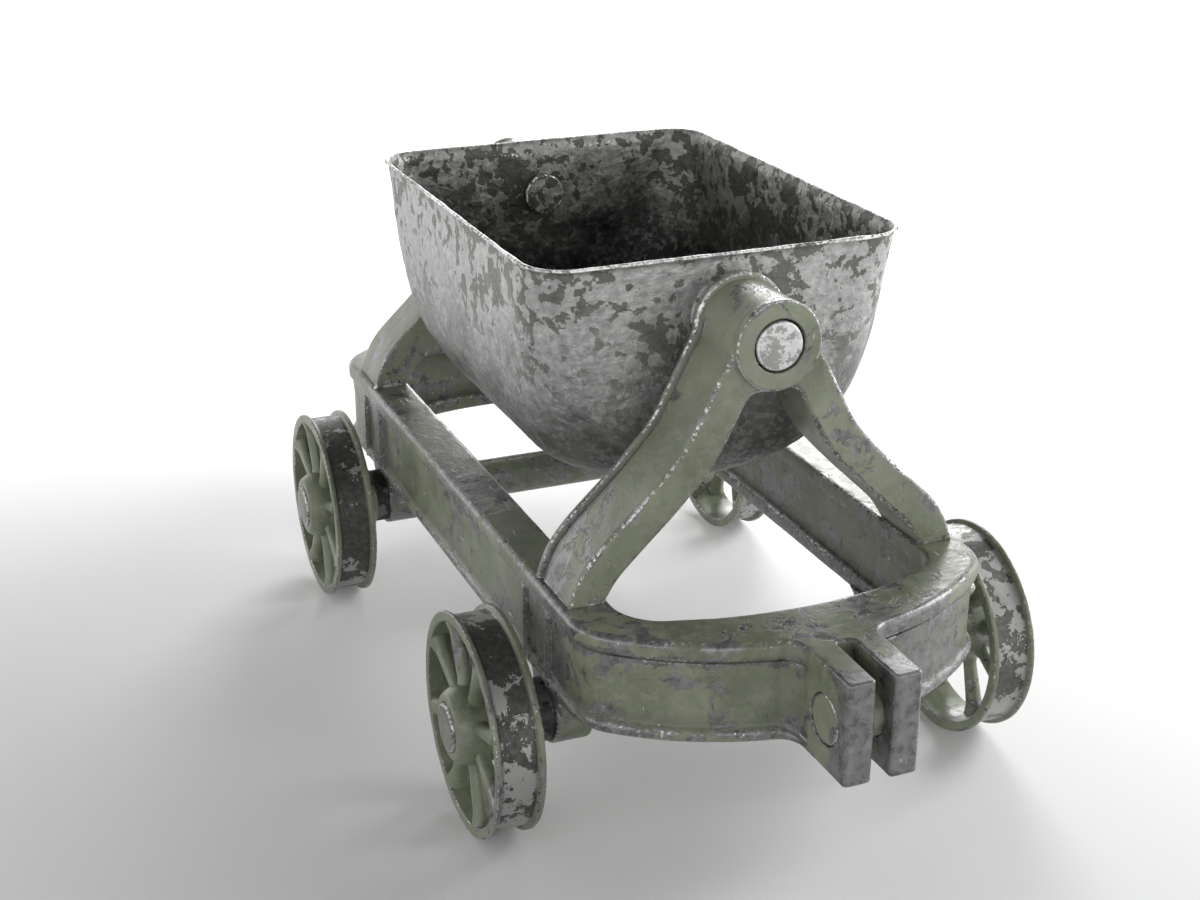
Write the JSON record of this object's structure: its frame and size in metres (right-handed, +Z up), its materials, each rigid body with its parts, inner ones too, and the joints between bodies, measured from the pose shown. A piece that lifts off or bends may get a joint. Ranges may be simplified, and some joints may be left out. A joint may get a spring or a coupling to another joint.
{
  "type": "mine cart",
  "caption": "Small narrow-gauge mine cart: a cast ring frame on two spoked wheelsets carries a tipping metal bucket between two trestles, with a coupling pin at each end.",
  "frame": {"origin": "ground level under the middle of the cart, midway between the four wheels, at the lowest point of the wheel lips", "axes": "+X to the cart's right across the track, +Y along the track towards the rear end, +Z up"},
  "size_m": [0.736, 1.398, 0.657],
  "materials": {
    "frame_paint": "worn grey-green paint over a rough casting",
    "trestle_paint": "worn grey-green paint with bare grey patches",
    "wheel_paint": "worn grey-green paint, bare dark treads",
    "bucket_metal": "mottled bare metal with a worn bright lip",
    "pin_metal": "dull worn steel",
    "axle_metal": "painted steel bar, worn",
    "dark_steel": "greasy dark steel",
    "bearing_bronze": "oily bronze"
  },
  "bodies": {
    "chassis": {"frame": "frame_paint", "front_trestle": "trestle_paint", "rear_trestle": "trestle_paint", "front_trestle_bolts": "dark_steel", "rear_trestle_bolts": "dark_steel", "front_left_bush": "bearing_bronze", "front_right_bush": "bearing_bronze", "rear_left_bush": "bearing_bronze", "rear_right_bush": "bearing_bronze"},
    "tipping_bucket": {"bucket": "bucket_metal", "front_trunnion": "pin_metal", "rear_trunnion": "pin_metal", "front_thrust_washer": "dark_steel", "rear_thrust_washer": "dark_steel"},
    "front_wheelset": {"front_axle": "axle_metal", "front_left_wheel": "wheel_paint", "front_right_wheel": "wheel_paint", "front_left_collar": "dark_steel", "front_right_collar": "dark_steel"},
    "rear_wheelset": {"rear_axle": "axle_metal", "rear_left_wheel": "wheel_paint", "rear_right_wheel": "wheel_paint", "rear_left_collar": "dark_steel", "rear_right_collar": "dark_steel"},
    "front_drawpin": {"front_coupling_pin": "pin_metal"},
    "rear_drawpin": {"rear_coupling_pin": "pin_metal"}
  },
  "joints": [
    {"name": "bucket_tip", "type": "hinge", "parent": "chassis", "child": "tipping_bucket", "pos_m": [0, 0, 0.582], "axis": [0, 1, 0], "range_deg": [-135, 135]},
    {"name": "front_wheels_spin", "type": "hinge", "parent": "chassis", "child": "front_wheelset", "pos_m": [0, -0.343, 0.134], "axis": [1, 0, 0], "continuous": true},
    {"name": "rear_wheels_spin", "type": "hinge", "parent": "chassis", "child": "rear_wheelset", "pos_m": [0, 0.343, 0.134], "axis": [1, 0, 0], "continuous": true},
    {"name": "front_pin_draw", "type": "slide", "parent": "chassis", "child": "front_drawpin", "axis": [1, 0, 0], "range_m": [0, 0.055]},
    {"name": "rear_pin_draw", "type": "slide", "parent": "chassis", "child": "rear_drawpin", "axis": [1, 0, 0], "range_m": [0, 0.055]}
  ]
}
